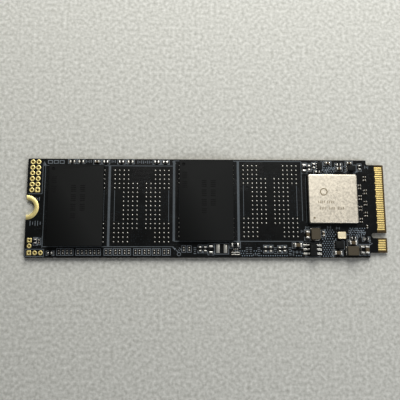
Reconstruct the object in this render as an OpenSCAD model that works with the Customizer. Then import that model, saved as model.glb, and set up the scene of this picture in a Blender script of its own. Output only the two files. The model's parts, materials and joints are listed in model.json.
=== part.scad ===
// Bare M.2 solid state drive, 80 mm x 22 mm, single sided, key M.
// +X runs along the card to the edge connector, +Y across it, +Z out of the
// component side. The origin is at the centre of the underside.

/* [Board] */
// Length of the card from the screw notch end to the connector edge
board_l = 80; // [80:1:110]
// Width of the card
board_w = 22; // [22:1:30]
// Thickness of the card over its solder mask
board_t = 0.8; // [0.6:0.05:1.6]
// Thickness of the solder mask over the bare laminate
mask_t = 0.05; // [0.04:0.005:0.08]
// Thickness of the outer copper
copper_t = 0.035; // [0.02:0.005:0.035]
// Gap between a pad and the edge of its opening in the mask
mask_gap = 0.05; // [0.03:0.01:0.08]
// Thickness of the printed legend
legend_t = 0.015; // [0.01:0.005:0.02]
// Radius of the two outer corners at the screw end
corner_r = 0.3; // [0.1:0.1:0.5]

/* [Screw notch] */
// Radius of the half-round notch for the hold-down screw
notch_r = 1.75; // [1.5:0.05:1.9]
// Outer radius of the plated land round the notch
notch_land_r = 2.75; // [2.3:0.05:3]
// Wall of the plating inside every plated hole and notch
plating_t = 0.03; // [0.02:0.01:0.04]

/* [Edge connector] */
// Width of the connector tab
tab_w = 19.85; // [19.7:0.05:20]
// Length of the tab past the shoulders
tab_l = 4; // [3.6:0.1:4.4]
// Radius of the fillet between tab and shoulder
tab_fillet_r = 0.4; // [0.2:0.1:0.5]
// Length of the bevel on the leading edge
bevel_l = 0.4; // [0.2:0.05:0.6]
// Depth of the bevel on each face
bevel_depth = 0.2; // [0.1:0.05:0.25]
// Width of the key slot
key_w = 1.2; // [1.1:0.05:1.3]
// Depth of the key slot from the connector edge
key_depth = 3.5; // [3:0.1:3.8]
// Spacing of the contacts on one face
contact_pitch = 0.5; // [0.45:0.01:0.5]
// Width of one contact
contact_w = 0.35; // [0.25:0.01:0.38]
// Length of a signal contact
contact_l = 1.6; // [1.2:0.1:1.7]
// Extra length of a ground contact
ground_extra_l = 0.15; // [0:0.05:0.2]
// Bare laminate between the contacts and the connector edge
contact_setback = 0.4; // [0.4:0.05:0.6]

/* [Service header] */
// Spacing of the service header's holes
header_pitch = 1.27; // [1.2:0.01:1.4]
// Number of holes along each of its two rows
header_rows = 6; // [4:1:6]
// Radius of a service header hole
header_hole_r = 0.26; // [0.2:0.01:0.3]
// Radius of a service header land
header_land_r = 0.56; // [0.5:0.01:0.58]
// Radius of a corner test land
test_land_r = 0.52; // [0.45:0.01:0.54]
// Radius of a corner test land's hole
test_hole_r = 0.2; // [0.15:0.01:0.25]

/* [Flash memory] */
// Width of a flash package along the card
flash_w = 12; // [10.6:0.1:12]
// Length of a flash package across the card
flash_l = 18; // [17.4:0.1:18]
// Thickness of a flash package's substrate
flash_base_t = 0.2; // [0.15:0.01:0.3]
// Thickness of a flash package's mould compound
flash_mould_t = 0.75; // [0.7:0.01:0.95]
// Number of dies in a flash package
die_count = 8; // [2:1:8]
// Thickness of one die with its film
die_t = 0.07; // [0.04:0.005:0.07]
// Sideways step of each die over the one below
die_step = 0.22; // [0.1:0.01:0.25]
// Distance between neighbouring flash sites
flash_pitch = 14.35; // [14.3:0.05:14.8]
// Distance of the first flash site from the screw end
flash_first = 10.93; // [10.8:0.01:11]
// Spacing of the balls and lands
ball_pitch = 1; // [0.95:0.01:1]
// Radius of a ball land
ball_land_r = 0.18; // [0.16:0.01:0.22]
// Gap between the mask and the underside of a ball grid package
standoff = 0.25; // [0.2:0.01:0.35]

/* [Controller] */
// Width and length of the controller package
controller_w = 11.1; // [10.5:0.1:11.1]
// Thickness of the controller's substrate
controller_base_t = 0.4; // [0.3:0.05:0.5]
// Number of balls along each side of the controller
controller_ball_count = 15; // [9:2:15]
// Spacing of the controller's balls
controller_ball_pitch = 0.65; // [0.6:0.01:0.68]
// Width of the controller die
controller_die_w = 6.4; // [5:0.1:7.4]
// Thickness of the controller die
controller_die_t = 0.3; // [0.2:0.05:0.4]
// Thickness of the lid's plate
lid_plate_t = 0.3; // [0.25:0.05:0.4]
// Width of the lid's rim
lid_rim_w = 1.1; // [0.8:0.1:1.4]
// Width of the bright bevel round the lid
lid_bevel = 0.22; // [0.1:0.02:0.24]
// Thickness of each bonding layer in the controller
bond_t = 0.05; // [0.03:0.01:0.08]

/* [Power parts] */
// Length of a power inductor
inductor_l = 2.5; // [2.4:0.05:2.6]
// Width of a power inductor
inductor_w = 2.05; // [1.9:0.05:2.1]
// Height of a power inductor
inductor_h = 1.1; // [0.9:0.05:1.2]
// Length of the crystal can
crystal_l = 2; // [1.8:0.05:2.1]
// Width of the crystal can
crystal_w = 1.65; // [1.4:0.05:1.7]
// Height of the crystal can
crystal_h = 0.55; // [0.5:0.05:0.7]
// Body width of the six-lead regulator, between its lead rows
regulator_w = 1.6; // [1.5:0.05:1.7]
// Body length of the six-lead regulator
regulator_l = 2.9; // [2.8:0.05:3]
// Body height of the six-lead regulator
regulator_h = 1; // [0.9:0.05:1.1]
// Distance over the regulator's lead tips
regulator_span = 2.9; // [2.8:0.05:3]

/* [Hidden] */
$fn = 32;

// Which end and which long edge a place is measured from
NOTCH = -1;
EDGE = 1;
LOWER = -1;
MIDDLE = 0;
UPPER = 1;

// Contacts are numbered from the upper long edge, odd ones on top, and the
// key slot takes the place of contacts 59 to 66
first_contact_y = 18.5 * contact_pitch;
key_offset = 12.25 * contact_pitch;
key_first = 59;
key_last = 66;
last_contact = 75;

// Levels, from the underside up
laminate_z = mask_t;
laminate_top = board_t - mask_t;
land_top = laminate_top + copper_t;
solder_t = mask_t - copper_t + legend_t;
part_z = land_top + solder_t;
grid_z = board_t + standoff;
slack = 1;

// Flash sites: distance of each from the card's centre line
flash_y = [0.42, 0.42, 1.62, 1.62];
ball_cols = 13;
ball_rows = 17;
mid_col = (ball_cols - 1) / 2;
mid_row = (ball_rows - 1) / 2;
full_grid = [for (c = [0:ball_cols - 1], r = [0:ball_rows - 1]) if (has_land(c, r)) [c, r]];

// Distances of the controller's centre from the connector edge and centre line
controller_x = 12.12;
controller_y = 2;

// Inside sizes that a person would not set
dome_h = 0.08;
ball_r = 0.25;
// Columns and rows of balls either side of the middle that a package has room for
covered_cols = min(mid_col, floor((flash_w / 2 - ball_r) / ball_pitch));
covered_rows = min(mid_row, floor((flash_l / 2 - ball_r) / ball_pitch));
package_grid = [for (b = full_grid) if (is_covered(b)) b];
side_grid = [for (b = full_grid) if (!is_covered(b)) b];
controller_ball_r = 0.19;
controller_land_r = 0.17;
die_margin = 1;
dimple_in = 0.95;
dimple_r = 0.34;
dimple_deep = 0.04;
base_z = grid_z + controller_base_t;
lid_w = controller_w - 0.1;
window_gap = 0.06;
controller_field_w = (controller_ball_count - 1) * controller_ball_pitch + 2 * controller_ball_r + window_gap;
crown_in = 0.06;

// Two-terminal chips: [length, width, height, cap length]
size_0201 = [0.6, 0.3, 0.3, 0.15];
size_0402 = [1, 0.5, 0.5, 0.25];
size_0603 = [1.6, 0.8, 0.8, 0.35];
// Their lands: [length, width, distance between centres]
lands_0201 = [0.3, 0.32, 0.58];
lands_0402 = [0.42, 0.54, 0.88];
lands_0603 = [0.6, 0.84, 1.42];
cap_wall = 0.02;
resistor_share = 0.72;
coat_t = 0.03;

// Empty decoupling sites along the lower edge, in pairs
spare_pairs = [7.45, 9.25, 11.6, 13.4, 15.2, 17.7, 19.75, 21.75, 24.1, 26.1, 28.2, 30.4];
spare_step = 0.88;
spare_sites = [for (x = spare_pairs, k = [0, 1])
    ["e", 201, NOTCH, LOWER, x + k * spare_step, 1.22, 90]];

// Coupling capacitors of the data pairs, between controller and contacts
coupling_step = 0.72;
coupling_near_x = 5.7;
coupling_far_x = 4.5;
coupling_near = [4.87, 2.4, -0.05, -2.74];
coupling_far = [6.74, 3.7, 1.13, -1.36];
coupling_sites = [for (k = [-0.5, 0.5], i = [0:3], far = [false, true])
    ["c", 201, EDGE, MIDDLE, far ? coupling_far_x : coupling_near_x,
     (far ? coupling_far[i] : coupling_near[i]) + k * coupling_step, 0]];

// Every chip site: [kind, size, end, side, along, across, turn].
// "c" is a capacitor, "r" a resistor, "e" a site left empty.
chip_sites = concat([
    ["r", 402, NOTCH, LOWER, 5.62, 0.93, 0],
    ["r", 402, NOTCH, LOWER, 2.35, 3.52, 90],
    ["e", 201, NOTCH, LOWER, 3.06, 3.5, 90],
    ["e", 402, NOTCH, UPPER, 9.69, 0.61, 0],
    ["e", 402, NOTCH, UPPER, 11.66, 0.61, 0],
    ["c", 402, NOTCH, UPPER, 15.26, 0.72, 0],
    ["r", 402, NOTCH, UPPER, 17.2, 0.68, 0],
    ["r", 402, NOTCH, UPPER, 20.67, 0.68, 0],
    ["e", 402, NOTCH, UPPER, 22.65, 0.61, 0],
    ["r", 402, NOTCH, UPPER, 28.55, 0.68, 0],
    ["r", 402, NOTCH, UPPER, 30.49, 0.68, 0],
    ["e", 201, NOTCH, LOWER, 34.65, 1.88, 90],
    ["e", 201, NOTCH, LOWER, 35.87, 1.88, 90],
    ["r", 402, NOTCH, LOWER, 38.24, 1.86, 90],
    ["r", 402, NOTCH, LOWER, 39.4, 1.86, 90],
    ["r", 603, NOTCH, LOWER, 40.62, 1.76, 90],
    ["r", 603, NOTCH, LOWER, 45.94, 2.71, 0],
    ["e", 402, NOTCH, LOWER, 52.7, 1.85, 90],
    ["e", 402, NOTCH, LOWER, 53.86, 1.85, 90],
    ["r", 402, NOTCH, LOWER, 55.83, 1.78, 90],
    ["r", 402, NOTCH, LOWER, 56.93, 1.83, 90],
    ["c", 603, EDGE, LOWER, 20.17, 2.69, 0],
    ["c", 603, EDGE, LOWER, 17.91, 5, 90],
    ["c", 402, EDGE, LOWER, 14.33, 5.22, 90],
    ["c", 603, EDGE, LOWER, 11.27, 1, 0],
    ["r", 402, EDGE, LOWER, 7.59, 4.27, 0],
    ["c", 603, EDGE, LOWER, 7.88, 3.23, 0],
    ["r", 402, EDGE, LOWER, 4.75, 4.07, 0],
    ["r", 603, EDGE, LOWER, 5.75, 1.69, 90],
    ["c", 603, EDGE, LOWER, 4.78, 1.68, 90],
    ["r", 603, EDGE, UPPER, 18.16, 1.88, 90],
    ["e", 402, EDGE, UPPER, 16.99, 1.73, 90],
    ["r", 402, EDGE, UPPER, 15.89, 1.33, 90],
    ["r", 402, EDGE, UPPER, 15.16, 2.73, 0],
    ["c", 402, EDGE, UPPER, 12.79, 0.72, 0],
    ["r", 402, EDGE, UPPER, 10.26, 1.11, 0],
    ["c", 402, EDGE, UPPER, 10.25, 1.99, 0],
    ["c", 402, EDGE, UPPER, 7.88, 0.72, 0],
    ["r", 402, EDGE, UPPER, 5.52, 1.65, 90],
    ["c", 201, EDGE, MIDDLE, 4.41, -4.17, 90]
], spare_sites, coupling_sites);

// Flat no-lead chips: [end, side, along, across, length, width, height]
load_switch_at = [EDGE, UPPER, 14.7, 1.38, 1, 1.7, 0.6];
supervisor_at = [EDGE, UPPER, 7.4, 1.86, 1.8, 1.2, 0.6];
converter_at = [EDGE, LOWER, 10.9, 2.75, 1.8, 1.6, 0.75];
flat_chips = [load_switch_at, supervisor_at, converter_at];
flat_land = [0.3, 0.25];
flat_land_out = 0.12;
flat_bevel = 0.04;

// Larger parts: [end, side, along, across, turn]
inductor_places = [[EDGE, LOWER, 16.2, 5.15, 90], [EDGE, LOWER, 8, 1.42, 0]];
spare_inductor_at = [NOTCH, LOWER, 43, 1.93, 0];
inductor_land = [0.78, 1.9];
inductor_land_out = 0.15;
inductor_land_step = inductor_l + 2 * inductor_land_out - inductor_land[0];
spare_inductor_step = 1.65;
inductor_wall = 0.06;
winding_r = 0.55;
wire_w = 0.3;
wire_h = 0.5;
inductor_foot_w = 1.6;
inductor_foot_l = 0.55;
inductor_bevel = 0.1;
inductor_fillet_h = 0.2;
crystal_at = [EDGE, LOWER, 10.3, 4.87, 0];
crystal_land = [0.7, 0.6, 1.25, 0.95];
crystal_base_h = 0.4;
crystal_floor = 0.15;
crystal_wall = 0.2;
crystal_rim = 0.1;
crystal_bevel = 0.06;
blank_t = 0.06;
regulator_at = [EDGE, LOWER, 16.85, 1.76, 0];
regulator_lead_pitch = 0.95;
regulator_lead_w = 0.4;
regulator_lead_t = 0.15;
regulator_land_l = 0.9;
regulator_land_w = 0.52;
regulator_foot_l = 0.3;
regulator_clear = 0.1;
regulator_bevel = 0.12;

// Service header and corner lands, from the screw end
header_first = [1, 0.75];
corner_lands = [[1, 3.75, true], [1, 2.5, false], [1, 1, true], [2.25, 1, false], [3.5, 1, false]];

// Printed lines
frame_line = 0.18;
site_line = 0.14;
site_line_l = 7 * ball_pitch;
// Printed marks are rows of plain ticks, where every third one is shorter.
tick_w = 0.16;
short_tick = 0.6;
divider_w = 0.55;
outline_line = 0.14;
header_box_x = header_first.x + header_pitch + 1.05;
header_box_y = header_first.y + (header_rows - 1) * header_pitch + 0.85;
via_r = 0.13;
via_step = 0.55;

// An unfilled switch footprint: [along, across, length, width] of each land
spare_switch_lands = [
    [45.7, 1.8, 0.25, 0.35], [46.1, 1.8, 0.25, 0.35], [46.5, 1.8, 0.25, 0.35],
    [46.05, 1.12, 1.9, 0.22], [46.05, 0.65, 1.9, 0.22]
];

function has_land(c, r) =
    let (edge_row = min(r, ball_rows - 1 - r), edge_col = min(c, ball_cols - 1 - c))
    edge_row < 3 ? edge_col < 4
    : edge_row < 5 ? edge_col < 6
    : edge_col > 1 && edge_col < 6;
function is_covered(b) = abs(b[0] - mid_col) <= covered_cols && abs(b[1] - mid_row) <= covered_rows;
function chip_size(n) = n == 201 ? size_0201 : n == 402 ? size_0402 : size_0603;
function resistor_size(n) = let (c = chip_size(n)) [c.x, c.y, c.z * resistor_share, c[3]];
function chip_lands(n) = n == 201 ? lands_0201 : n == 402 ? lands_0402 : lands_0603;
function site_x(i) = flash_first + i * flash_pitch - board_l / 2;
function pin_y(pin) = first_contact_y - contact_pitch / 2 * (pin - 1);
function is_ground(pin) = pin % 2 == 1 && (pin > 70 || pin < 4 || (pin % 6 == 3 && pin < key_first));

// Placing
module place(end, side, along, across, turn = 0) {
    translate([end * (board_l / 2 - along), side == MIDDLE ? across : side * (board_w / 2 - across)])
        rotate(turn) children();
}
module place_all(sites) {
    for (s = sites) place(s[2], s[3], s[4], s[5], s[6]) children();
}
module each_chip(kinds, size) {
    place_all([for (s = chip_sites) if (search(s[0], kinds) != [] && s[1] == size) s]) children();
}
module at_site(i) {
    translate([site_x(i), flash_y[i]]) children();
}
module on_grid(grid) {
    for (b = grid)
        translate([b[0] - mid_col, mid_row - b[1]] * ball_pitch) children();
}
module controller_place() {
    place(EDGE, MIDDLE, controller_x, controller_y) children();
}
module on_controller_grid() {
    half = (controller_ball_count - 1) / 2;
    for (i = [-half:half], j = [-half:half])
        translate([i, j] * controller_ball_pitch) children();
}
module header_grid(skip_first, only_first) {
    for (c = [0, 1], r = [0:header_rows - 1]) {
        first = c == 1 && r == header_rows - 1;
        if (first ? !skip_first : !only_first)
            place(NOTCH, UPPER, header_first.x + c * header_pitch, header_first.y + r * header_pitch)
                children();
    }
}

// Flat outlines
module rect(l, w) {
    square([l, w], center = true);
}
module ring(l, w, line) {
    difference() {
        rect(l, w);
        rect(l - 2 * line, w - 2 * line);
    }
}
module corner_waste(r) {
    difference() {
        translate([-slack, -slack]) square(r + slack);
        translate([r, r]) circle(r);
    }
}
module tab_fillets() {
    for (s = [-1, 1])
        translate([board_l / 2 - tab_l, s * tab_w / 2])
            mirror([0, s < 0 ? 1 : 0]) difference() {
                square(tab_fillet_r);
                translate([tab_fillet_r, tab_fillet_r]) circle(tab_fillet_r);
            }
}
module board_outline(notch) {
    difference() {
        union() {
            translate([-board_l / 2, -board_w / 2]) square([board_l - tab_l, board_w]);
            translate([board_l / 2 - tab_l - slack, -tab_w / 2]) square([tab_l + slack, tab_w]);
            tab_fillets();
        }
        translate([-board_l / 2, 0]) circle(notch);
        translate([board_l / 2 - key_depth + key_w / 2, -key_offset]) {
            circle(key_w / 2);
            translate([0, -key_w / 2]) square([key_depth, key_w]);
        }
        for (s = [0, 1])
            mirror([0, s]) translate([-board_l / 2, -board_w / 2]) corner_waste(corner_r);
    }
}
module chip_land_shapes(size, grow) {
    pads = chip_lands(size);
    for (s = [-1, 1]) translate([s * pads[2] / 2, 0]) rect(pads[0] + 2 * grow, pads[1] + 2 * grow);
}
module flat_chip_lands(chip, grow) {
    for (s = [-1, 1], k = [-1:1])
        translate([s * (chip[4] / 2 + flat_land_out - flat_land[0] / 2), k * chip[5] / 3])
            rect(flat_land[0] + 2 * grow, flat_land[1] + 2 * grow);
}
module inductor_lands(step, grow) {
    for (s = [-1, 1]) translate([s * step / 2, 0])
        rect(inductor_land[0] + 2 * grow, inductor_land[1] + 2 * grow);
}
module crystal_lands(grow) {
    for (s = [-1, 1], t = [-1, 1]) translate([s * crystal_land[2] / 2, t * crystal_land[3] / 2])
        rect(crystal_land[0] + 2 * grow, crystal_land[1] + 2 * grow);
}
module regulator_lands(grow) {
    out = regulator_span / 2 - regulator_foot_l + regulator_land_l / 2;
    for (s = [-1, 1], k = [-1:1])
        translate([s * out, k * regulator_lead_pitch])
            rect(regulator_land_l + 2 * grow, regulator_land_w + 2 * grow);
}
module filled_land_shapes(grow) {
    for (size = [201, 402, 603]) each_chip("cr", size) chip_land_shapes(size, grow);
    for (p = inductor_places) place(p[0], p[1], p[2], p[3], p[4]) inductor_lands(inductor_land_step, grow);
    place(crystal_at[0], crystal_at[1], crystal_at[2], crystal_at[3]) crystal_lands(grow);
    place(regulator_at[0], regulator_at[1], regulator_at[2], regulator_at[3]) regulator_lands(grow);
    for (c = flat_chips) place(c[0], c[1], c[2], c[3]) flat_chip_lands(c, grow);
}
module spare_land_shapes(grow) {
    for (size = [201, 402]) each_chip("e", size) chip_land_shapes(size, grow);
    place(spare_inductor_at[0], spare_inductor_at[1], spare_inductor_at[2], spare_inductor_at[3])
        inductor_lands(spare_inductor_step, grow);
    for (p = spare_switch_lands)
        place(NOTCH, LOWER, p[0], p[1]) rect(p[2] + 2 * grow, p[3] + 2 * grow);
}
module through_land_shapes(grow) {
    header_grid(true, false) circle(header_land_r + grow);
    header_grid(false, true) rect(2 * (header_land_r + grow), 2 * (header_land_r + grow));
    for (c = corner_lands) place(NOTCH, LOWER, c[0], c[1])
        if (c[2]) rect(2 * (test_land_r + grow), 2 * (test_land_r + grow));
        else circle(test_land_r + grow);
    translate([-board_l / 2, 0]) circle(notch_land_r + grow);
}
module contact_window() {
    window_l = contact_setback + contact_l + ground_extra_l;
    translate([board_l / 2 - window_l, -board_w / 2]) square([window_l + slack, board_w]);
}
module bare_ball_land_shapes(grow) {
    for (i = [1, 3]) at_site(i) on_grid(full_grid) circle(ball_land_r + grow);
    for (i = [0, 2]) at_site(i) on_grid(side_grid) circle(ball_land_r + grow);
}
// One window stands for all the mask openings that a ball grid package hides
module package_windows() {
    margin = 2 * ball_r + window_gap;
    for (i = [0, 2])
        at_site(i) rect(2 * covered_cols * ball_pitch + margin, 2 * covered_rows * ball_pitch + margin);
    controller_place() rect(controller_field_w, controller_field_w);
}

// Board
module bevel_cutter() {
    face_z = laminate_z - board_t / 2;
    translate([board_l / 2, board_w / 2, 0]) rotate([90, 0, 0]) linear_extrude(board_w) polygon([
        [-bevel_l, face_z], [0, face_z + bevel_depth], [slack, face_z + bevel_depth],
        [slack, face_z - slack], [-bevel_l, face_z - slack]
    ]);
}
module board_laminate() {
    color([0.42, 0.34, 0.2]) difference() {
        translate([0, 0, laminate_z]) linear_extrude(laminate_top - laminate_z)
            board_outline(notch_r + plating_t);
        for (face = [0, 1]) translate([0, 0, board_t / 2]) mirror([0, 0, face]) bevel_cutter();
        header_grid(false, false) cylinder(r = header_hole_r + plating_t, h = board_t);
        for (c = corner_lands) place(NOTCH, LOWER, c[0], c[1])
            cylinder(r = test_hole_r + plating_t, h = board_t);
    }
}
module solder_mask_top() {
    color([0.09, 0.1, 0.1]) translate([0, 0, laminate_top]) linear_extrude(mask_t) difference() {
        board_outline(notch_r + plating_t);
        contact_window();
        through_land_shapes(mask_gap);
        filled_land_shapes(mask_gap);
        spare_land_shapes(mask_gap);
        bare_ball_land_shapes(mask_gap);
        package_windows();
    }
}
module solder_mask_underside() {
    color([0.09, 0.1, 0.1]) linear_extrude(mask_t) difference() {
        board_outline(notch_r + plating_t);
        contact_window();
        through_land_shapes(mask_gap);
    }
}

// Plated holes and contacts
module contact(pin, z) {
    extra = is_ground(pin) ? ground_extra_l : 0;
    translate([board_l / 2 - contact_setback - contact_l - extra, pin_y(pin) - contact_w / 2, z])
        cube([contact_l + extra, contact_w, copper_t]);
}
module contact_row(first, z) {
    for (pin = [first:2:last_contact]) if (pin < key_first || pin > key_last) contact(pin, z);
}
module contacts_top() {
    color([0.85, 0.72, 0.4]) contact_row(1, laminate_top);
}
module contacts_underside() {
    color([0.85, 0.72, 0.4]) contact_row(2, laminate_z - copper_t);
}
module plated_through(hole_r) {
    difference() {
        union() {
            for (z = [laminate_z - copper_t, laminate_top])
                translate([0, 0, z]) linear_extrude(copper_t) children();
            translate([0, 0, laminate_z - copper_t])
                cylinder(r = hole_r + plating_t, h = land_top - laminate_z + copper_t);
        }
        translate([0, 0, -slack]) cylinder(r = hole_r, h = board_t + 2 * slack);
    }
}
module screw_notch_plating() {
    color([0.95, 0.86, 0.5]) intersection() {
        translate([-board_l / 2, 0, 0]) plated_through(notch_r) circle(notch_land_r);
        translate([-board_l / 2, -board_w / 2, -slack]) cube([board_w, board_w, board_t + 2 * slack]);
    }
}
module service_header_plating() {
    color([0.88, 0.82, 0.6]) {
        header_grid(true, false) plated_through(header_hole_r) circle(header_land_r);
        header_grid(false, true) plated_through(header_hole_r) rect(2 * header_land_r, 2 * header_land_r);
    }
}
module corner_test_lands() {
    color([0.88, 0.82, 0.6]) for (c = corner_lands) place(NOTCH, LOWER, c[0], c[1])
        plated_through(test_hole_r) {
            if (c[2]) rect(2 * test_land_r, 2 * test_land_r);
            else circle(test_land_r);
        }
}

// Ball grid lands and the solder on the empty ones
module land_disc() {
    cylinder(r = ball_land_r, h = copper_t);
}
module solder_dome(r, h) {
    rotate_extrude() polygon([[0, 0], [r, 0], [r * 0.85, h * 0.5], [r * 0.4, h], [0, h]]);
}
module flash_lands(i) {
    color([0.75, 0.6, 0.4]) translate([0, 0, laminate_top]) at_site(i) on_grid(full_grid) land_disc();
}
module empty_site_solder(i) {
    color([0.68, 0.67, 0.63]) translate([0, 0, land_top]) at_site(i) on_grid(full_grid)
        solder_dome(ball_land_r, dome_h);
}
module flash_side_solder() {
    color([0.68, 0.67, 0.63]) translate([0, 0, land_top]) for (i = [0, 2]) at_site(i) on_grid(side_grid)
        solder_dome(ball_land_r, dome_h);
}

// Flash packages
module solder_ball(r) {
    h = grid_z - land_top;
    rotate_extrude() polygon([[0, 0], [r * 0.8, 0], [r, h * 0.45], [r * 0.85, h], [0, h]]);
}
module block(l, w, h) {
    translate([-l / 2, -w / 2, 0]) cube([l, w, h]);
}
module flash_balls(i) {
    color([0.75, 0.75, 0.76]) translate([0, 0, land_top]) at_site(i)
        on_grid(package_grid) solder_ball(ball_r);
}
module flash_substrate(i) {
    color([0.12, 0.2, 0.14]) translate([0, 0, grid_z]) at_site(i) block(flash_w, flash_l, flash_base_t);
}
module die_pile() {
    pile_l = flash_l - 4 * die_margin;
    die_w = flash_w - 2 * die_margin - (die_count - 1) * die_step;
    for (k = [0:die_count - 1])
        translate([(k - (die_count - 1) / 2) * die_step, 0, k * die_t]) block(die_w, pile_l, die_t);
}
module flash_dies(i) {
    color([0.45, 0.47, 0.52]) translate([0, 0, grid_z + flash_base_t]) at_site(i) die_pile();
}
module flash_mould(i) {
    color([0.13, 0.14, 0.14]) translate([0, 0, grid_z + flash_base_t]) at_site(i) difference() {
        block(flash_w, flash_l, flash_mould_t);
        die_pile();
        translate([dimple_in - flash_w / 2, flash_l / 2 - dimple_in, flash_mould_t - dimple_deep])
            cylinder(r = dimple_r, h = slack);
    }
}

// Controller
module bevelled_block(l, w, h, bevel) {
    intersection() {
        rotate([90, 0, 0]) linear_extrude(w, center = true) bevel_profile(l, h, bevel);
        rotate([90, 0, 90]) linear_extrude(l, center = true) bevel_profile(w, h, bevel);
    }
}
module bevel_profile(l, h, bevel) {
    x = l / 2;
    polygon([[-x, 0], [x, 0], [x, h - bevel], [x - bevel, h], [bevel - x, h], [-x, h - bevel]]);
}
module at_controller(z) {
    translate([0, 0, z]) controller_place() children();
}
module controller_lands() {
    color([0.75, 0.6, 0.4]) at_controller(laminate_top) linear_extrude(copper_t)
        on_controller_grid() circle(controller_land_r);
}
module controller_balls() {
    color([0.75, 0.75, 0.76]) at_controller(land_top) on_controller_grid() solder_ball(controller_ball_r);
}
module controller_substrate() {
    color([0.1, 0.16, 0.12]) at_controller(grid_z) block(controller_w, controller_w, controller_base_t);
}
module controller_underfill() {
    color([0.2, 0.2, 0.22]) at_controller(base_z) block(controller_die_w, controller_die_w, bond_t);
}
module controller_die() {
    color([0.5, 0.52, 0.56]) at_controller(base_z + bond_t)
        block(controller_die_w, controller_die_w, controller_die_t);
}
module controller_thermal_compound() {
    color([0.8, 0.8, 0.82]) at_controller(base_z + bond_t + controller_die_t)
        block(controller_die_w, controller_die_w, bond_t);
}
module controller_lid_bond() {
    color([0.25, 0.25, 0.26]) at_controller(base_z) linear_extrude(bond_t) ring(lid_w, lid_w, lid_rim_w);
}
module controller_lid() {
    rim_h = controller_die_t + bond_t;
    inner = lid_w - 2 * lid_rim_w;
    color([0.87, 0.85, 0.8]) at_controller(base_z + bond_t) difference() {
        bevelled_block(lid_w, lid_w, rim_h + lid_plate_t, lid_bevel);
        translate([0, 0, -slack]) block(inner, inner, rim_h + slack);
    }
}

// Lands and solder of the small parts
module component_lands() {
    color([0.75, 0.6, 0.4]) translate([0, 0, laminate_top]) linear_extrude(copper_t) {
        filled_land_shapes(0);
        spare_land_shapes(0);
    }
}
module fillet_wedges(half_l, land_half, w, h) {
    reach = land_half - half_l;
    for (s = [0, 1]) mirror([s, 0]) translate([half_l, w / 2, 0]) rotate([90, 0, 0]) linear_extrude(w)
        polygon([[0, 0], [reach, 0], [reach * 0.45, h * 0.3], [reach * 0.15, h * 0.65], [0, h]]);
}
module component_solder() {
    color([0.75, 0.75, 0.74]) {
        translate([0, 0, land_top]) linear_extrude(solder_t) filled_land_shapes(0);
        translate([0, 0, part_z]) {
            for (size = [201, 402, 603]) each_chip("cr", size) {
                part = chip_size(size);
                pads = chip_lands(size);
                fillet_wedges(part.x / 2, (pads[2] + pads[0]) / 2, part.y * 0.9, part.z * 0.6);
            }
            for (p = inductor_places) place(p[0], p[1], p[2], p[3], p[4])
                fillet_wedges(inductor_l / 2, inductor_l / 2 + inductor_land_out, inductor_foot_w,
                    inductor_fillet_h);
        }
    }
}
module spare_land_solder() {
    color([0.7, 0.69, 0.65]) translate([0, 0, land_top]) {
        linear_extrude(solder_t) spare_land_shapes(0);
        translate([0, 0, solder_t]) linear_extrude(solder_t / 2) spare_land_shapes(-crown_in);
    }
}

// Two-terminal chips
module chip_core(part) {
    translate([0, 0, cap_wall]) block(part.x - 2 * cap_wall, part.y - 2 * cap_wall, part.z - 2 * cap_wall);
}
module chip_caps(part) {
    difference() {
        for (s = [-1, 1]) translate([s * (part.x - part[3]) / 2, 0]) block(part[3], part.y, part.z);
        chip_core(part);
    }
}
module capacitor_bodies(size, tint) {
    color(tint) translate([0, 0, part_z]) each_chip("c", size) chip_core(chip_size(size));
}
module capacitor_caps(size) {
    color([0.78, 0.78, 0.76]) translate([0, 0, part_z]) each_chip("c", size) chip_caps(chip_size(size));
}
module resistor_bases() {
    color([0.9, 0.9, 0.88]) translate([0, 0, part_z])
        for (size = [402, 603]) each_chip("r", size) chip_core(resistor_size(size));
}
module resistor_coats() {
    color([0.07, 0.07, 0.07]) translate([0, 0, part_z]) for (size = [402, 603]) each_chip("r", size) {
        part = resistor_size(size);
        translate([0, 0, part.z - cap_wall]) block(part.x - 2 * part[3], part.y - 2 * cap_wall, coat_t);
    }
}
module resistor_caps() {
    color([0.78, 0.78, 0.76]) translate([0, 0, part_z])
        for (size = [402, 603]) each_chip("r", size) chip_caps(resistor_size(size));
}

// Power inductors
module each_inductor() {
    translate([0, 0, part_z]) for (p = inductor_places) place(p[0], p[1], p[2], p[3], p[4]) children();
}
module inductor_terminal_pair() {
    for (s = [0, 1]) mirror([s, 0]) {
        translate([inductor_l / 2 - inductor_wall, -inductor_foot_w / 2, 0])
            cube([inductor_wall, inductor_foot_w, inductor_h * 0.6]);
        translate([inductor_l / 2 - inductor_foot_l, -inductor_foot_w / 2, 0])
            cube([inductor_foot_l, inductor_foot_w, inductor_wall]);
    }
}
module winding() {
    translate([0, 0, inductor_h / 2]) {
        rotate_extrude() translate([winding_r, 0]) rect(wire_w, wire_h);
        for (s = [0, 1]) mirror([s, 0]) translate([winding_r, -wire_w / 2, -wire_w / 2])
            cube([inductor_l / 2 - inductor_wall - winding_r, wire_w, wire_w]);
    }
}
module inductor_cores() {
    color([0.33, 0.29, 0.25]) each_inductor() difference() {
        bevelled_block(inductor_l, inductor_w, inductor_h, inductor_bevel);
        inductor_terminal_pair();
        winding();
    }
}
module inductor_windings() {
    color([0.72, 0.45, 0.25]) each_inductor() winding();
}
module inductor_terminals() {
    color([0.78, 0.78, 0.76]) each_inductor() inductor_terminal_pair();
}

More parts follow.
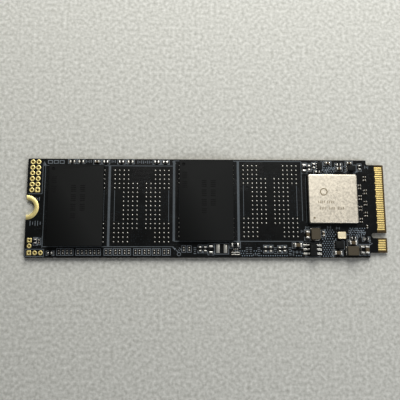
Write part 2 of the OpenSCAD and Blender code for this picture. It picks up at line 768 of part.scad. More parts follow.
// Crystal
module at_crystal(z) {
    translate([0, 0, part_z + z])
        place(crystal_at[0], crystal_at[1], crystal_at[2], crystal_at[3]) children();
}
module crystal_base() {
    color([0.28, 0.22, 0.16]) at_crystal(0) difference() {
        block(crystal_l, crystal_w, crystal_base_h);
        translate([0, 0, crystal_floor])
            block(crystal_l - 2 * crystal_wall, crystal_w - 2 * crystal_wall, slack);
    }
}
module crystal_blank() {
    color([0.85, 0.88, 0.9]) at_crystal(crystal_floor)
        block(crystal_l - 3 * crystal_wall, crystal_w - 3 * crystal_wall, blank_t);
}
module crystal_lid() {
    lid_t = crystal_h - crystal_base_h;
    color([0.92, 0.88, 0.75]) at_crystal(crystal_base_h)
        bevelled_block(crystal_l - crystal_rim, crystal_w - crystal_rim, lid_t, crystal_bevel);
}

// Six-lead regulator
module at_regulator(z) {
    translate([0, 0, part_z + z])
        place(regulator_at[0], regulator_at[1], regulator_at[2], regulator_at[3]) children();
}
module regulator_body() {
    color([0.1, 0.1, 0.1]) at_regulator(regulator_clear)
        bevelled_block(regulator_w, regulator_l, regulator_h, regulator_bevel);
}
module regulator_leads() {
    side = regulator_w / 2;
    mid = regulator_clear + regulator_h / 2;
    t = regulator_lead_t;
    color([0.76, 0.76, 0.74]) at_regulator(0)
        for (s = [0, 1], k = [-1:1]) mirror([s, 0])
            translate([0, k * regulator_lead_pitch + regulator_lead_w / 2, 0])
                rotate([90, 0, 0]) linear_extrude(regulator_lead_w) polygon([
                    [side, mid - t / 2], [side + t, mid - t / 2], [side + 2 * t, 0], [regulator_span / 2, 0],
                    [regulator_span / 2, t], [side + 2.7 * t, t], [side + 1.7 * t, mid + t / 2],
                    [side, mid + t / 2]
                ]);
}

// Flat no-lead chips
module flat_chip(chip) {
    color([0.11, 0.11, 0.11]) translate([0, 0, part_z])
        place(chip[0], chip[1], chip[2], chip[3]) bevelled_block(chip[4], chip[5], chip[6], flat_bevel);
}

// Legend
module every_land_shape(grow) {
    through_land_shapes(grow);
    filled_land_shapes(grow);
    spare_land_shapes(grow);
}
module frame_shapes() {
    half_h = 9.05;
    for (i = [0:3]) at_site(i) for (s = [-1, 1]) translate([0, s * half_h]) rect(flash_pitch, frame_line);
    for (i = [1:3]) at_site(i) translate([-flash_pitch / 2, 0]) rect(divider_w, 2 * half_h);
    at_site(0) translate([-flash_pitch / 2 + 0.1, 0]) rect(frame_line, 2 * half_h);
    at_site(3) translate([flash_pitch / 2, half_h / 4]) rect(frame_line, 1.5 * half_h);
    for (i = [0:3]) at_site(i) for (s = [-1, 1]) translate([s * mid_col * ball_pitch, 0])
        rect(site_line, site_line_l);
    at_site(1) translate([flash_pitch / 2, half_h + 0.8]) rotate(35) rect(0.5, 0.9);
    place(NOTCH, UPPER, header_box_x, (0.9 + header_box_y) / 2) rect(frame_line, header_box_y - 0.9);
    place(NOTCH, UPPER, (0.3 + header_box_x) / 2, header_box_y) rect(header_box_x - 0.3, frame_line);
    place(NOTCH, LOWER, 2.2, 1.02) ring(4.2, 1.75, 0.2);
    place(NOTCH, LOWER, 3.75, 3.4) rect(0.15, 2.6);
    controller_place() for (s = [-1, 1])
        translate([s * (controller_w / 2 + 0.25), 0]) rect(0.12, controller_w * 0.95);
    place(regulator_at[0], regulator_at[1], regulator_at[2], regulator_at[3])
        for (s = [-1, 1]) translate([0, s * 1.62]) rect(3.6, 0.18);
    place(EDGE, LOWER, 16.6, 6.72) rect(3.4, 0.22);
}
module outline_shapes() {
    each_chip("e", 201) ring(1.58, spare_step + outline_line, outline_line);
    each_chip("er", 402) difference() {
        ring(1.85, 1.1, outline_line);
        rect(0.6, 2);
    }
    each_chip("c", 402) ring(1.85, 1.15, outline_line);
    each_chip("cr", 603) difference() {
        ring(2.55, 1.45, outline_line);
        rect(0.7, 2);
    }
    place(spare_inductor_at[0], spare_inductor_at[1], spare_inductor_at[2], spare_inductor_at[3])
        ring(3.2, 2.5, outline_line);
    for (k = [0:2]) place(NOTCH, UPPER, 4.85 + k * 1.3, 0.72) ring(1.1, 0.85, 0.2);
    for (c = flat_chips) place(c[0], c[1], c[2], c[3]) difference() {
        ring(c[4] + 0.7, c[5] + 0.5, outline_line);
        rect(c[4] * 0.5, c[5] + 1);
    }
}
module tick_row(count, step, tall) {
    for (k = [0:count - 1]) translate([(k - (count - 1) / 2) * step, 0])
        rect(tick_w, tall * (k % 3 == 1 ? short_tick : 1));
}
module mark_shapes() {
    place(NOTCH, UPPER, header_box_x + 0.2, 1.1) polygon([[0, 0.55], [0.6, -0.45], [0, -0.55]]);
    place(NOTCH, LOWER, 32.5, 2) polygon([[-0.45, 0.35], [0.45, 0], [0.25, -0.45]]);
    place(NOTCH, LOWER, 33.6, 0.75) difference() {
        circle(0.45);
        circle(0.3);
    }
    place(NOTCH, LOWER, 33.6, 1.6) rotate(40) tick_row(3, 0.4, 0.9);
    place(NOTCH, LOWER, 2.1, 7.5) tick_row(5, 0.55, 1.1);
    place(NOTCH, UPPER, 2.4, 9.1) tick_row(3, 0.4, 0.8);
    place(NOTCH, UPPER, 25.8, 0.65) tick_row(8, 0.42, 0.7);
    place(NOTCH, UPPER, 13.4, 0.55) tick_row(4, 0.36, 0.6);
    place(NOTCH, UPPER, 18.9, 0.55) tick_row(3, 0.36, 0.6);
    for (x = [37.1, 48.6, 49.4, 51.2, 54.85, 58.1])
        place(NOTCH, LOWER, x, 1.5) rotate(90) tick_row(4, 0.42, 0.6);
    for (x = [50.4, 58.5]) place(NOTCH, LOWER, x, 0.6) tick_row(3, 0.4, 0.5);
    for (s = [[19.9, 1.2], [20.8, 1.2], [18.9, 5.8], [17.9, 6.6], [13, 6.7], [11, 6.5]])
        place(EDGE, LOWER, s[0], s[1]) tick_row(3, 0.36, 0.6);
    for (s = [[12.6, 1.9], [11.7, 1.9], [13.1, 2.7], [8.7, 1.2], [8.75, 2.5], [6.5, 2.8], [3.9, 1.6]])
        place(EDGE, UPPER, s[0], s[1]) rotate(s[0] * 90) tick_row(3, 0.36, 0.7);
    for (s = [[8.2, 5.9], [7.1, 6.1], [6.1, 5.7], [5.3, 5.5], [6.2, 4.7], [3.9, 3.3]])
        place(EDGE, LOWER, s[0], s[1]) rotate(s[0] * 30) tick_row(3, 0.4, 0.8);
}
module legend_layer() {
    color([0.5, 0.53, 0.56]) translate([0, 0, board_t]) linear_extrude(legend_t) children();
}
module legend_frames() {
    legend_layer() difference() {
        frame_shapes();
        every_land_shape(mask_gap);
    }
}
module legend_outlines() {
    legend_layer() difference() {
        outline_shapes();
        every_land_shape(mask_gap);
        frame_shapes();
    }
}
module legend_marks() {
    legend_layer() difference() {
        mark_shapes();
        every_land_shape(mask_gap);
        frame_shapes();
        outline_shapes();
    }
}
module via_field(cols, rows, step) {
    for (c = [0:cols - 1], r = [0:rows - 1])
        translate([(c + r % 2 / 2 - cols / 2) * step, (r - rows / 2) * step * 0.85]) circle(via_r);
}
module tented_vias() {
    color([0.2, 0.22, 0.22]) translate([0, 0, board_t]) linear_extrude(legend_t) difference() {
        union() {
            place(EDGE, LOWER, 13.1, 2.4) via_field(5, 9, via_step);
            place(EDGE, LOWER, 12.8, 5.4) via_field(4, 5, via_step);
            place(EDGE, UPPER, 12.5, 2.2) via_field(5, 4, via_step);
            place(EDGE, LOWER, 6.6, 6) via_field(7, 4, via_step);
            place(EDGE, MIDDLE, 18.2, 2) via_field(2, 20, via_step);
        }
        every_land_shape(mask_gap);
        frame_shapes();
        outline_shapes();
        mark_shapes();
    }
}

board_laminate();
solder_mask_top();
solder_mask_underside();
legend_frames();
legend_outlines();
legend_marks();
tented_vias();
contacts_top();
contacts_underside();
screw_notch_plating();
service_header_plating();
corner_test_lands();
flash_lands(0);  // flash_site_1_lands
flash_lands(1);  // flash_site_2_lands
flash_lands(2);  // flash_site_3_lands
flash_lands(3);  // flash_site_4_lands
empty_site_solder(1);  // flash_site_2_solder
empty_site_solder(3);  // flash_site_4_solder
flash_side_solder();
flash_balls(0);  // flash_1_balls
flash_substrate(0);  // flash_1_substrate
flash_dies(0);  // flash_1_dies
flash_mould(0);  // flash_1_mould
flash_balls(2);  // flash_2_balls
flash_substrate(2);  // flash_2_substrate
flash_dies(2);  // flash_2_dies
flash_mould(2);  // flash_2_mould
controller_lands();
controller_balls();
controller_substrate();
controller_underfill();
controller_die();
controller_thermal_compound();
controller_lid_bond();
controller_lid();
component_lands();
component_solder();
spare_land_solder();
capacitor_bodies(201, [0.5, 0.42, 0.33]);  // capacitor_0201_bodies
capacitor_caps(201);  // capacitor_0201_caps
capacitor_bodies(402, [0.5, 0.4, 0.28]);  // capacitor_0402_bodies
capacitor_caps(402);  // capacitor_0402_caps
capacitor_bodies(603, [0.48, 0.4, 0.3]);  // capacitor_0603_bodies
capacitor_caps(603);  // capacitor_0603_caps
resistor_bases();
resistor_coats();
resistor_caps();
inductor_cores();
inductor_windings();
inductor_terminals();
crystal_base();
crystal_blank();
crystal_lid();
regulator_body();
regulator_leads();
flat_chip(load_switch_at);  // load_switch
flat_chip(supervisor_at);  // voltage_supervisor
flat_chip(converter_at);  // core_converter
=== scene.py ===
# %% [markdown]
# # A bare M.2 solid state drive
# The drive is one rigid card, 80 mm by 22 mm and under a millimetre thick, with
# flash memory, a controller and power parts soldered to its upper side. Its
# frame is already made: every node of it is a real piece at its real place.
# This lesson gives the pieces their looks. It loads the frame, sets up a small
# studio, makes one material for each finish, and then models again, by hand,
# the pieces whose curves and soft edges the frame only sketches.

# %% Load the frame
import json
import math

import bmesh
import bpy
import numpy as np
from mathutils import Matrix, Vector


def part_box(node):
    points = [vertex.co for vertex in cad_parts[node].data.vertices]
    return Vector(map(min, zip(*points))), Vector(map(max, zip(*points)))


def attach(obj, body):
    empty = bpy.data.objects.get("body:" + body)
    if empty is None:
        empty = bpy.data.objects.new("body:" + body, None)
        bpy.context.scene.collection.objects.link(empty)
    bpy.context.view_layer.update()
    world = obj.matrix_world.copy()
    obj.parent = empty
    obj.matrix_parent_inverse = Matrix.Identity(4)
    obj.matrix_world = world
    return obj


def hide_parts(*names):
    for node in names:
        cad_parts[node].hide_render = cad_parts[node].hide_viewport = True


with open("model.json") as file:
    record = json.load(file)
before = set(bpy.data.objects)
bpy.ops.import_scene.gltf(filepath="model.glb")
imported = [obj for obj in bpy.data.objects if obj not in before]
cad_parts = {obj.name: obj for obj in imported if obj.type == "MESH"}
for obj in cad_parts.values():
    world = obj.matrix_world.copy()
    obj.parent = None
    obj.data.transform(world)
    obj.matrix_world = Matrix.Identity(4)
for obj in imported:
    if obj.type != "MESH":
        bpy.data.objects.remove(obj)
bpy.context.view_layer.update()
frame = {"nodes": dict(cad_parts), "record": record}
MM = 0.001

# %% [markdown]
# Each node of the frame may hold many separate solids: all the contacts, or all
# the chips of one size. A new piece needs to know where each of them lies. Two
# triangles belong to the same solid when they share a corner, so the corners
# that lie at the same place are merged, and each edge passes the lower of its
# two numbers on until nothing changes. What carries one number is one solid.

# %% Find the solids in a node
def solid_points(node):
    """The corner points of each separate solid of a node."""
    mesh = frame["nodes"][node].data
    points = np.empty(len(mesh.vertices) * 3)
    mesh.vertices.foreach_get("co", points)
    points = points.reshape(-1, 3)
    ends = np.empty(len(mesh.edges) * 2, dtype=int)
    mesh.edges.foreach_get("vertices", ends)
    places, corner_of = np.unique(points.round(7), axis=0, return_inverse=True)
    corner_of = corner_of.reshape(-1)
    ends = corner_of[ends].reshape(-1, 2)
    number = np.arange(len(places))
    while True:
        lower = number.copy()
        least = number[ends].min(axis=1)
        np.minimum.at(lower, ends[:, 0], least)
        np.minimum.at(lower, ends[:, 1], least)
        lower = lower[lower]
        if (lower == number).all():
            break
        number = lower
    return [places[number == label] for label in np.unique(number)]


def solids(node):
    """The lowest and highest corner of each separate solid of a node."""
    return [(points.min(axis=0), points.max(axis=0)) for points in solid_points(node)]


print("contacts on top:", len(solids("contacts_top")))

# %% [markdown]
# The camera looks almost straight down, from a hand's width above the card,
# and leans a little towards its upper edge. Turning the camera so that its own
# upward direction points along the card's width keeps the card level in the
# picture. The lens is a little longer than normal, so the near edge of the card
# looks only slightly wider than the far one. A gamma below one adds the contrast
# that a camera adds by itself: it deepens the blacks and keeps the light tones.

# %% Camera
from mathutils import Matrix, Vector

camera_data = bpy.data.cameras.new("studio_camera")
camera_data.sensor_width = 36
camera_data.lens = 48.33
camera_data.clip_start = 5 * MM
camera = bpy.data.objects.new("studio_camera", camera_data)
bpy.context.scene.collection.objects.link(camera)
camera_place = Vector((-5.87, -17.3, 118.89)) * MM
lean, swing = math.radians(9.38), math.radians(77.82)
forward = Vector((math.cos(swing) * math.sin(lean), math.sin(swing) * math.sin(lean), -math.cos(lean)))
upward = Vector((-0.0033, 0.9872, 0.1593))
sideways = forward.cross(upward).normalized()
upward = sideways.cross(forward)
camera.matrix_world = Matrix.Translation(camera_place) @ Matrix((sideways, upward, -forward)).transposed().to_4x4()
bpy.context.scene.camera = camera
CONTRAST_GAMMA = 0.72
bpy.context.scene.view_settings.view_transform = "Standard"
bpy.context.scene.view_settings.gamma = CONTRAST_GAMMA
print("camera height in mm:", round(camera_place.z / MM, 1))

# %% [markdown]
# A material is a small graph of nodes. One helper adds a node, sets its
# properties, and either links or fills each input, so every material below
# reads as a list of what it is made of. Colours are written as the hex values
# that a paint chart gives, and are turned to the linear light values that the
# shaders work in.

# %% Helpers for materials
def linear(hex_colour):
    """An sRGB hex colour as linear red, green, blue and alpha."""
    channels = [int(hex_colour[i:i + 2], 16) / 255 for i in (1, 3, 5)]
    return tuple(c / 12.92 if c <= 0.04045 else ((c + 0.055) / 1.055) ** 2.4 for c in channels) + (1,)


def add_node(tree, kind, inputs, **settings):
    """Add a node with its settings, and link or fill its inputs."""
    node = tree.nodes.new(kind)
    for name, value in settings.items():
        setattr(node, name, value)
    for name, value in inputs.items():
        if isinstance(value, bpy.types.NodeSocket):
            tree.links.new(value, node.inputs[name])
        else:
            node.inputs[name].default_value = value
    return node


def new_material(name):
    """A material with only an output, and the piece's own coordinates to draw patterns with."""
    material = bpy.data.materials.new(name)
    material.use_nodes = True
    tree = material.node_tree
    tree.nodes.clear()
    place = add_node(tree, "ShaderNodeTexCoord", {}).outputs["Object"]
    return material, tree, place


def close_material(tree, shader):
    """Lead a shader to the material's output."""
    add_node(tree, "ShaderNodeOutputMaterial", {"Surface": shader.outputs[0]})


# A colour mix node keeps its colours behind those of its other data types.
MIX_FACTOR, MIX_A, MIX_B, MIX_RESULT = 0, 6, 7, 2

# %% [markdown]
# The studio is a pale matt sheet with two wide soft lights at its sides and a
# weak grey sky. The window light hangs nearer, past the card's upper edge, so
# the sheet darkens towards the other one. The card is mostly black and half glossy, and such a surface
# shows the eye whatever hangs straight above it. So nothing bright hangs there,
# and the lights reach the card at a slant: the black stays black, and metal
# edges and rough metal still catch the light. The sheet has the faint fleck of
# matt plastic film.

# %% Floor and lights
def per(size_mm):
    """The scale that makes one feature of a pattern about this many millimetres wide."""
    return 1 / (size_mm * MM)


material, tree, place = new_material("matt_film")
fleck = add_node(tree, "ShaderNodeTexNoise", {"Vector": place, "Scale": per(0.75), "Detail": 6}).outputs["Fac"]
film_colour = add_node(tree, "ShaderNodeMix", {
    MIX_FACTOR: fleck, MIX_A: linear("#94948e"), MIX_B: linear("#dededa")}, data_type="RGBA")
fleck_bump = add_node(tree, "ShaderNodeBump", {"Height": fleck, "Distance": 0.04 * MM, "Strength": 0.6})
close_material(tree, add_node(tree, "ShaderNodeBsdfPrincipled", {
    "Base Color": film_colour.outputs[MIX_RESULT], "Roughness": 0.85, "Normal": fleck_bump.outputs["Normal"]}))

bpy.ops.object.select_all(action="DESELECT")
bpy.ops.mesh.primitive_plane_add(size=900 * MM, location=(0, 0, -0.03 * MM))
floor = bpy.context.object
floor.name = "floor"
floor.data.materials.append(material)


def soft_light(name, direction, distance_mm, side_mm, watts, tint):
    """A square area light that shines at the card from a direction."""
    light_data = bpy.data.lights.new(name, "AREA")
    light_data.size = side_mm * MM
    light_data.energy = watts
    light_data.color = linear(tint)[:3]
    light = bpy.data.objects.new(name, light_data)
    bpy.context.scene.collection.objects.link(light)
    away = Vector(direction).normalized()
    turn = away.to_track_quat("Z", "Y").to_matrix().to_4x4()
    light.matrix_world = Matrix.Translation(away * distance_mm * MM) @ turn


soft_light("window_light", (0.1, 1.0, 0.85), 290, 220, 1.24, "#fffefb")
soft_light("fill_light", (0.9, -0.75, 0.8), 420, 300, 1.0, "#f6f8fc")
world = bpy.data.worlds.new("grey_sky")
world.use_nodes = True
sky = world.node_tree.nodes["Background"]
sky.inputs["Color"].default_value = linear("#d9dadc")
sky.inputs["Strength"].default_value = 0.19
bpy.context.scene.world = world

# %% [markdown]
# Most of the finishes on the card are fine-grained: a pressed, fired, plated or
# moulded surface whose colour, gloss and height all follow one small grain. One
# recipe serves them all, fed with two colours, the width of the grain, the mean
# roughness and the height of the relief. The real grains are a few hundredths
# of a millimetre wide, so several of them are drawn two or three times coarser
# than they are, to be seen at all.

# %% The recipe for grained finishes
finishes = {}


def grained(name, dark, light, grain_mm, roughness, relief_mm, metallic=0.0):
    """A finish whose colour, gloss and height vary together with one grain."""
    material, tree, place = new_material(name)
    grain = add_node(tree, "ShaderNodeTexNoise", {
        "Vector": place, "Scale": per(grain_mm), "Detail": 4, "Roughness": 0.6}).outputs["Fac"]
    colour = add_node(tree, "ShaderNodeMix", {
        MIX_FACTOR: grain, MIX_A: linear(dark), MIX_B: linear(light)}, data_type="RGBA")
    gloss = add_node(tree, "ShaderNodeMapRange", {
        "Value": grain, "From Min": 0.3, "From Max": 0.7,
        "To Min": roughness * 0.85, "To Max": roughness * 1.15})
    height = add_node(tree, "ShaderNodeBump", {"Height": grain, "Distance": relief_mm * MM, "Strength": 0.8})
    close_material(tree, add_node(tree, "ShaderNodeBsdfPrincipled", {
        "Base Color": colour.outputs[MIX_RESULT], "Roughness": gloss.outputs["Result"],
        "Metallic": metallic, "Normal": height.outputs["Normal"]}))
    finishes[name] = material


# %% [markdown]
# The metals. Contacts get hard gold, plated thick for wear, and the lands get a
# thin immersion gold, paler and more matt. Chip ends are dipped in matt tin.
# Solder freezes from a melt, so its skin is brighter, with a fine frost, and on
# the empty sites, where air has reached it for longer, it is duller. The
# controller's lid is stamped copper under satin nickel, which turns slightly
# warm. Windings and lands under solder are copper, and the crystal's lid is
# an iron alloy with a flash of gold over nickel.

# %% Metal finishes
grained("hard_gold", "#e8d08c", "#fbeebc", 0.12, 0.52, 0.003, metallic=1.0)
grained("immersion_gold", "#efdf9f", "#fff5c6", 0.07, 0.50, 0.003, metallic=1.0)
grained("matt_tin", "#cfceca", "#f0efea", 0.05, 0.42, 0.003, metallic=1.0)
grained("frosted_solder", "#cccbc6", "#efeee8", 0.06, 0.40, 0.005, metallic=1.0)
grained("dull_solder", "#acaba6", "#d6d5d0", 0.06, 0.46, 0.005, metallic=1.0)
grained("land_copper", "#a8683f", "#cf9163", 0.08, 0.40, 0.002, metallic=1.0)
grained("satin_nickel", "#d8d2c6", "#eee8dc", 0.5, 0.50, 0.002, metallic=1.0)
grained("gold_flashed_alloy", "#eee3c6", "#fff8e4", 0.12, 0.50, 0.002, metallic=1.0)

# %% [markdown]
# The fired, pressed and moulded finishes. Capacitors are fired titanate, tan to
# brown and slightly glossy. Resistors are white alumina under a black glaze.
# Power inductors are iron powder pressed with resin: a grey-brown, granular
# skin. Chip bodies are black epoxy full of glass beads, moulded against a
# finely eroded tool, so they look charcoal and matt. A package substrate is a
# dark green resin laminate. The rest lies inside, out of sight: silicon,
# thermal compound and bonding resin, the quartz blank and its ceramic base.

# %% Ceramic, powder and resin finishes
grained("fired_titanate", "#4d4437", "#726753", 0.08, 0.38, 0.002)
grained("white_alumina", "#d3d0c7", "#efede6", 0.06, 0.45, 0.002)
grained("black_glaze", "#101112", "#1d1e20", 0.10, 0.22, 0.001)
grained("pressed_iron_powder", "#443e33", "#6b6354", 0.11, 0.60, 0.012)
grained("black_epoxy_mould", "#080a09", "#101312", 0.09, 0.62, 0.003)
grained("green_resin_laminate", "#0c120e", "#182218", 0.12, 0.45, 0.002)
grained("diced_silicon", "#484c55", "#5d626c", 0.20, 0.25, 0.001)
grained("bonding_resin", "#35363a", "#4c4d52", 0.10, 0.50, 0.003)
grained("cut_quartz", "#c9d2d6", "#e3e9ec", 0.15, 0.20, 0.001)
grained("brown_crystal_ceramic", "#3a2c20", "#54412f", 0.07, 0.42, 0.002)

# %% [markdown]
# Solder mask is a black lacquer, printed over the copper and cured. It is only
# some hundredths of a millimetre thick, so the traces and planes under it show
# as faint relief, and as a slightly lighter black where copper backs it. The
# card is divided into rectangular regions by a Voronoi pattern with square
# distances. In each region traces run along the card, across it, or not at all,
# and some regions are crowded with small covered holes, each a paler dot. The
# dots are a painted highlight: the light that the mask's rim round each hole
# would catch is painted into the colour.

# %% Solder mask
TRACE_PITCH = 0.30
VIA_STEP = 0.55
REGION = 4.2
material, tree, place = new_material("black_solder_mask")
region = add_node(tree, "ShaderNodeTexVoronoi", {"Vector": place, "Scale": per(REGION), "Randomness": 0.8},
                  distance="CHEBYCHEV").outputs["Color"]
choice = add_node(tree, "ShaderNodeSeparateColor", {"Color": region})
stripes = []
for direction in ("X", "Y"):
    wave = add_node(tree, "ShaderNodeTexWave", {"Vector": place, "Scale": per(TRACE_PITCH) / 20 * math.tau},
                    bands_direction=direction)
    stripes.append(add_node(tree, "ShaderNodeMapRange", {
        "Value": wave.outputs["Fac"], "From Min": 0.45, "From Max": 0.6}).outputs["Result"])
along = add_node(tree, "ShaderNodeMath", {0: choice.outputs["Red"], 1: 0.5}, operation="GREATER_THAN")
plain = add_node(tree, "ShaderNodeMath", {0: choice.outputs["Green"], 1: 0.45}, operation="GREATER_THAN")
traces = add_node(tree, "ShaderNodeMix", {0: along.outputs[0], 2: stripes[0], 3: stripes[1]})
copper = add_node(tree, "ShaderNodeMath", {0: traces.outputs[0], 1: plain.outputs[0]}, operation="MAXIMUM")
haze = add_node(tree, "ShaderNodeTexNoise", {"Vector": place, "Scale": per(1.6), "Detail": 6}).outputs["Fac"]
drilled = add_node(tree, "ShaderNodeTexVoronoi", {"Vector": place, "Scale": per(VIA_STEP), "Randomness": 0.55},
                   distance="EUCLIDEAN").outputs["Distance"]
rings = add_node(tree, "ShaderNodeMapRange", {
    "Value": drilled, "From Min": 0.30, "From Max": 0.22}).outputs["Result"]
crowded = add_node(tree, "ShaderNodeMath", {0: choice.outputs["Blue"], 1: 0.5}, operation="GREATER_THAN")
# The paler dots are a painted highlight of the covered holes' rims, and are not a colour of the mask.
dots = add_node(tree, "ShaderNodeMath", {0: rings, 1: crowded.outputs[0]}, operation="MULTIPLY")
plain_black = add_node(tree, "ShaderNodeMix", {
    MIX_FACTOR: copper.outputs[0], MIX_A: linear("#040505"), MIX_B: linear("#0a0d0d")}, data_type="RGBA")
black = add_node(tree, "ShaderNodeMix", {
    MIX_FACTOR: dots.outputs[0], MIX_A: plain_black.outputs[MIX_RESULT], MIX_B: linear("#1e2529")},
    data_type="RGBA")
gloss = add_node(tree, "ShaderNodeMapRange", {"Value": haze, "To Min": 0.32, "To Max": 0.48})
relief = add_node(tree, "ShaderNodeBump", {"Height": copper.outputs[0], "Distance": 0.012 * MM, "Strength": 0.5})
close_material(tree, add_node(tree, "ShaderNodeBsdfPrincipled", {
    "Base Color": black.outputs[MIX_RESULT], "Roughness": gloss.outputs["Result"], "IOR": 1.5,
    "Normal": relief.outputs["Normal"]}))
finishes["black_solder_mask"] = material
# The finish of the covered-hole rings is a grey much paler than the mask. Part of it is the thin mask over copper,
# and the rest is a painted highlight of the rim.
grained("thin_mask_and_painted_highlight", "#6a757f", "#9aa6b1", 0.15, 0.35, 0.002)

# %% [markdown]
# The card's own edge is milled glass-fibre laminate. The cut shows its plies as
# thin level lines, with lighter specks where glass bundles end. The legend is a
# grey-blue ink, printed through a screen: matt, and uneven along its length
# because the screen leaves more ink in some places than in others. Wide lines
# come out thin and dark, and narrow ones keep more ink and stand out paler.

# %% Laminate edge and legend ink
PLY = 0.11
material, tree, place = new_material("milled_laminate")
plies = add_node(tree, "ShaderNodeTexWave", {
    "Vector": place, "Scale": per(PLY) / 20 * math.tau, "Distortion": 1.5, "Detail": 2}, bands_direction="Z")
stretched = add_node(tree, "ShaderNodeMapping", {"Vector": place, "Scale": (1, 1, 4)})
bundle = add_node(tree, "ShaderNodeTexNoise", {
    "Vector": stretched.outputs["Vector"], "Scale": per(0.25), "Detail": 3}).outputs["Fac"]
shade = add_node(tree, "ShaderNodeMath", {0: plies.outputs["Fac"], 1: bundle}, operation="MULTIPLY")
brown = add_node(tree, "ShaderNodeMix", {
    MIX_FACTOR: shade.outputs[0], MIX_A: linear("#3c301c"), MIX_B: linear("#8a7446")}, data_type="RGBA")
cut = add_node(tree, "ShaderNodeBump", {"Height": shade.outputs[0], "Distance": 0.02 * MM, "Strength": 0.7})
close_material(tree, add_node(tree, "ShaderNodeBsdfPrincipled", {
    "Base Color": brown.outputs[MIX_RESULT], "Roughness": 0.7, "Normal": cut.outputs["Normal"]}))
finishes["milled_laminate"] = material
grained("legend_ink", "#4f5559", "#6c7277", 0.5, 0.6, 0.004)
grained("legend_ink_thin", "#666c71", "#868c92", 0.5, 0.6, 0.004)

# %% [markdown]
# Marks burnt by a laser are the last finish. On black epoxy the beam melts the
# skin to a rougher, darker one, and on nickel it leaves a warm grey
# oxide. Both are uneven, because the beam draws each stroke as a row of dots.

# %% Laser marks
grained("laser_mark_on_epoxy", "#030303", "#080808", 0.06, 0.80, 0.004)
grained("laser_mark_on_nickel", "#8c8372", "#b5ab99", 0.10, 0.60, 0.003, metallic=1.0)
print("finishes:", len(finishes))

# %% [markdown]
# Many nodes already have the right shape: flat copper, printed ink, balls and
# dies that lie out of sight. They keep their meshes and only get a finish. The
# record of the frame names a material slot for each node, and each slot stands
# for one finish here.

# %% Dress the frame
SLOT_FINISH = {
    "fr4_laminate": "milled_laminate", "solder_mask": "black_solder_mask", "legend_ink": "legend_ink",
    "gold_plating": "immersion_gold", "copper": "land_copper", "solder": "frosted_solder",
    "mould_compound": "black_epoxy_mould", "package_substrate": "green_resin_laminate",
    "silicon": "diced_silicon", "bonding_resin": "bonding_resin", "nickel_plated_copper": "satin_nickel",
    "capacitor_ceramic": "fired_titanate", "alumina": "white_alumina", "resistor_glaze": "black_glaze",
    "tinned_metal": "matt_tin", "pressed_iron_powder": "pressed_iron_powder",
    "crystal_ceramic": "brown_crystal_ceramic", "quartz": "cut_quartz",
    "gold_flashed_kovar": "gold_flashed_alloy",
}
slot_of = {entry["node"]: entry["material_slot"] for entry in frame["record"]["subparts"]}
for name, node in frame["nodes"].items():
    node.data.materials.clear()
    node.data.materials.append(finishes[SLOT_FINISH[slot_of[name]]])
for name in ("contacts_top", "contacts_underside"):
    frame["nodes"][name].data.materials[0] = finishes["hard_gold"]
for name in ("legend_outlines", "legend_marks"):
    frame["nodes"][name].data.materials[0] = finishes["legend_ink_thin"]
for site in range(1, 5):
    frame["nodes"][f"flash_site_{site}_lands"].data.materials[0] = finishes["dull_solder"]
print("dressed nodes:", len(slot_of))

# %% [markdown]
# The pieces are modelled with the same operators that a hand on the mouse
# would call: add a primitive, select some faces or edges, then bevel, inset,
# extrude or cut. Here the selecting is done in code, by where a face or an edge
# lies and which way it points. A few helpers keep that short. Each starts by
# deselecting everything, because an operator acts on all that is selected.

# %% Helpers for modelling
def take(piece=None):
    """Leave edit mode and select one piece, or nothing."""
    if bpy.context.mode != "OBJECT":
        bpy.ops.object.mode_set(mode="OBJECT")
    bpy.ops.object.select_all(action="DESELECT")
    if piece:
        bpy.context.view_layer.objects.active = piece
        piece.select_set(True)


def block(name, low, high):
    """A cube primitive that fills the box between two corners."""
    take()
    low, high = Vector(low), Vector(high)
    bpy.ops.mesh.primitive_cube_add(size=1, location=(low + high) / 2)
    piece = bpy.context.object
    piece.name = piece.data.name = name
    piece.scale = high - low
    bpy.ops.object.transform_apply(location=True, rotation=True, scale=True)
    return piece


def pick(piece, kind, test):
    """Open a piece and select faces or real edges whose middle and direction pass a test."""
    take(piece)
    bpy.ops.object.mode_set(mode="EDIT")
    bpy.ops.mesh.select_mode(type=kind)
    bpy.ops.mesh.select_all(action="DESELECT")
    mesh = bmesh.from_edit_mesh(piece.data)
    for item in mesh.faces if kind == "FACE" else mesh.edges:
        corners = [corner.co for corner in item.verts]
        middle = sum(corners, Vector()) / len(corners)
        direction = item.normal if kind == "FACE" else (corners[1] - corners[0]).normalized()
        flat = kind == "EDGE" and item.calc_face_angle(0) < 0.01
        if test(middle, direction) and not flat:
            item.select_set(True)
    bmesh.update_edit_mesh(piece.data)


def upright(middle, direction):
    """True for an edge that stands along Z."""
    return abs(direction.z) > 0.99


def level_at(*heights):
    """A test for level edges at one of some heights."""
    return lambda middle, direction: abs(direction.z) < 0.01 and any(
        abs(middle.z - height) < 1e-3 * MM for height in heights)


def rim_of(low, high):
    """A test for the edges round the top of a box, and for no edge further inward."""
    def test(middle, direction):
        inward = min(middle.x - low[0], high[0] - middle.x, middle.y - low[1], high[1] - middle.y)
        return abs(direction.z) < 0.01 and abs(middle.z - high[2]) < 1e-3 * MM and inward < 0.14 * MM
    return test


def round_edges(piece, test, width_mm, segments, profile=0.5):
    """Bevel the edges that pass a test. Half a profile is a quarter round, and less is hollow."""
    pick(piece, "EDGE", test)
    bpy.ops.mesh.bevel(offset=width_mm * MM, segments=segments, profile=profile, affect="EDGES")
    take(piece)


# %% [markdown]
# Round pieces are turned: a circle of vertices is extruded along +Z and scaled,
# point after point along a profile, as clay is pulled up on a wheel. The ends
# are then capped, or, where the profile comes back to its start, merged. Spin
# would do the same from a drawn section. The wheel needs only the list of radii
# and heights, which is how a plated hole or a ball of solder is described.

